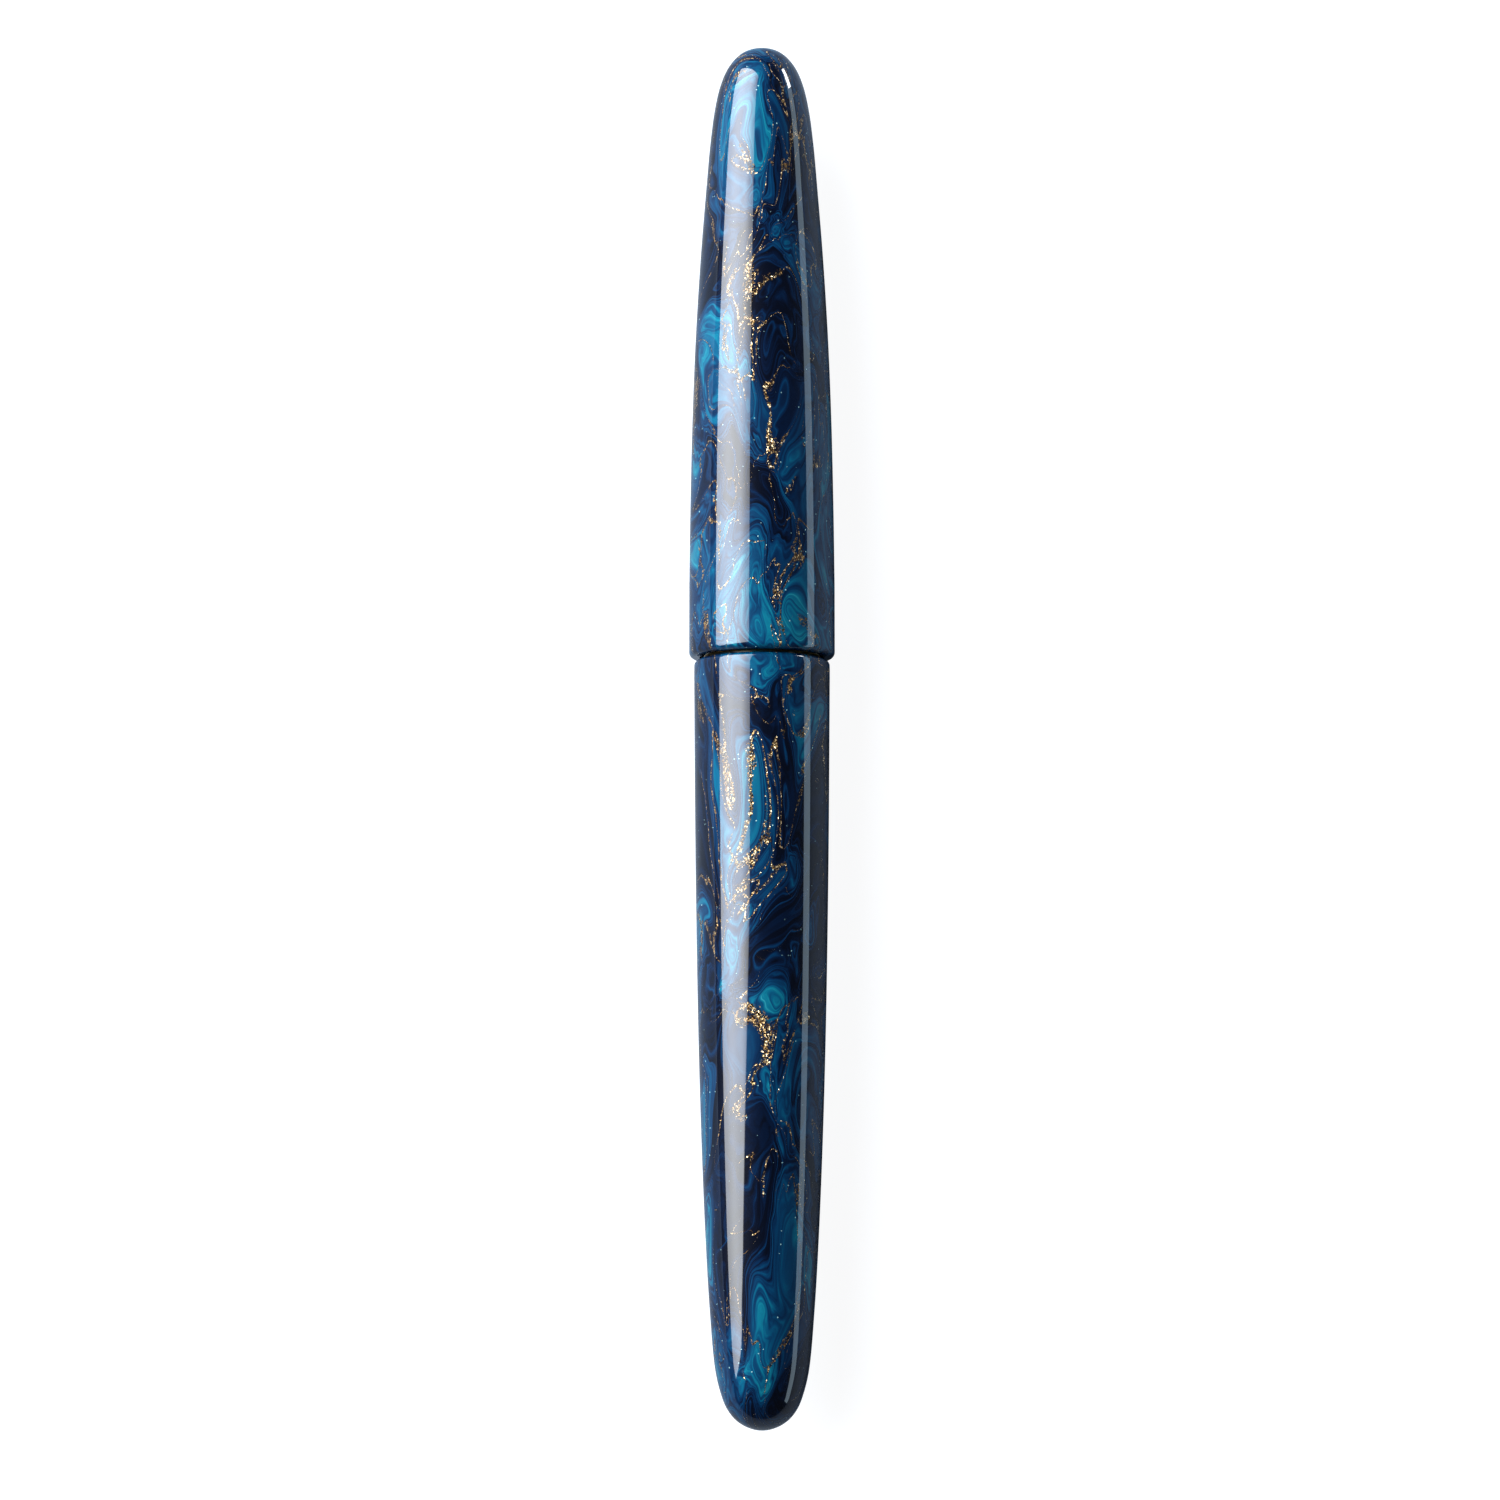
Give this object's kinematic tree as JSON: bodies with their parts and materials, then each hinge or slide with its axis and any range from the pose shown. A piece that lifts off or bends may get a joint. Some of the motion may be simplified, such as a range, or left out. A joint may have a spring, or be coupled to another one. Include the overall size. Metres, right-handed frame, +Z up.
{
  "type": "fountain pen",
  "caption": "Clipless cigar-shaped fountain pen with a screw cap, a threaded barrel and a piston converter inside.",
  "frame": {"origin": "on the table plane, under the middle of the pen's length, straight below its axis", "axes": "+X along the pen's axis towards the cap end, +Z up from the table, +Y across the pen"},
  "size_m": [0.15, 0.0156, 0.0157],
  "materials": {
    "marbled_resin": "polished",
    "liner_plastic": "satin",
    "gold_nib": "polished",
    "tipping_alloy": "polished",
    "stainless_steel": "polished",
    "brass": "polished",
    "ebonite": "satin",
    "clear_plastic": "polished",
    "black_plastic": "satin",
    "rubber": "matte"
  },
  "bodies": {
    "section": {"grip_section": "marbled_resin", "nib_housing": "black_plastic", "feed": "ebonite", "nib": "gold_nib", "nib_tipping_left": "tipping_alloy", "nib_tipping_right": "tipping_alloy"},
    "inner_cap_unit": {"inner_cap": "liner_plastic"},
    "spring_unit": {"inner_cap_spring": "stainless_steel", "spring_seat": "stainless_steel"},
    "cap": {"cap_shell": "marbled_resin", "inner_cap_retainer": "stainless_steel"},
    "trim_ring": {"joint_ring": "brass"},
    "seal_ring": {"barrel_o_ring": "rubber"},
    "barrel": {"barrel_shell": "marbled_resin", "barrel_thread_insert": "brass"},
    "converter": {"converter_tube": "clear_plastic", "converter_collar": "stainless_steel", "converter_guide": "black_plastic"},
    "knob": {"converter_knob": "black_plastic"},
    "piston": {"piston_rod": "black_plastic", "piston_seal": "rubber"}
  },
  "joints": [
    {"name": "cap_pull", "type": "slide", "parent": "section", "child": "inner_cap_unit", "axis": [1, 0, 0], "range_m": [0, 0.06]},
    {"name": "cap_lift", "type": "slide", "parent": "inner_cap_unit", "child": "spring_unit", "axis": [1, 0, 0], "range_m": [0, 0.003]},
    {"name": "cap_turn", "type": "hinge", "parent": "spring_unit", "child": "cap", "pos_m": [0.03, 0, 0.00785], "axis": [1, 0, 0], "range_deg": [0, 450]},
    {"name": "barrel_pull", "type": "slide", "parent": "section", "child": "trim_ring", "axis": [-1, 0, 0], "range_m": [0, 0.072]},
    {"name": "barrel_advance", "type": "slide", "parent": "trim_ring", "child": "seal_ring", "axis": [-1, 0, 0], "range_m": [0, 0.006]},
    {"name": "barrel_turn", "type": "hinge", "parent": "seal_ring", "child": "barrel", "pos_m": [0, 0, 0.00785], "axis": [-1, 0, 0], "range_deg": [0, 2160]},
    {"name": "converter_pull", "type": "slide", "parent": "section", "child": "converter", "axis": [-1, 0, 0], "range_m": [0, 0.0075]},
    {"name": "knob_turn", "type": "hinge", "parent": "converter", "child": "knob", "pos_m": [-0.04, 0, 0.00785], "axis": [-1, 0, 0], "range_deg": [0, 1980]},
    {"name": "piston_slide", "type": "slide", "parent": "converter", "child": "piston", "axis": [1, 0, 0], "range_m": [0, 0.022]}
  ],
  "couplings": [
    {"joint": "cap_turn", "follows": "cap_lift", "rad_per_m": 2618},
    {"joint": "barrel_turn", "follows": "barrel_advance", "rad_per_m": 6283.2},
    {"joint": "knob_turn", "follows": "piston_slide", "rad_per_m": 1570.8}
  ]
}
